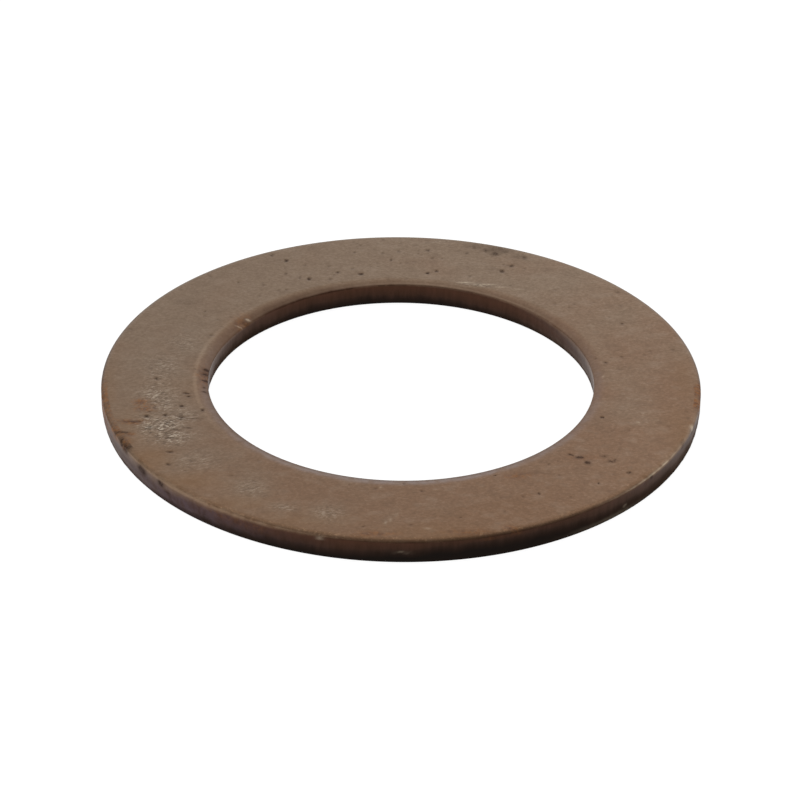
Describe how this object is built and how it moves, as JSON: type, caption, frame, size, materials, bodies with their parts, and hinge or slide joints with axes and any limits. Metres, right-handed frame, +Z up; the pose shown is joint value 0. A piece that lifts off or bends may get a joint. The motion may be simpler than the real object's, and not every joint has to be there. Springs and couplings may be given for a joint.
{
  "type": "washer",
  "caption": "Flat round steel washer with a wide bore, thin section, rolled upper rims and a brown tempered surface; spreads load or spaces parts along a shaft.",
  "frame": {"origin": "on the bore's axis, in the bottom face that the washer lies on", "axes": "+Z up along the bore's axis, from the burr face to the rolled face; +X and +Y lie in the bottom face, and the picture looks along +Y from above"},
  "size_m": [0.0398, 0.0398, 0.0016],
  "materials": {
    "tempered_steel": "hardened carbon steel with satin brown temper oxide, galled patches, small rust pits and a darker sheared edge"
  },
  "bodies": {
    "root": {"washer": "tempered_steel"}
  },
  "joints": []
}
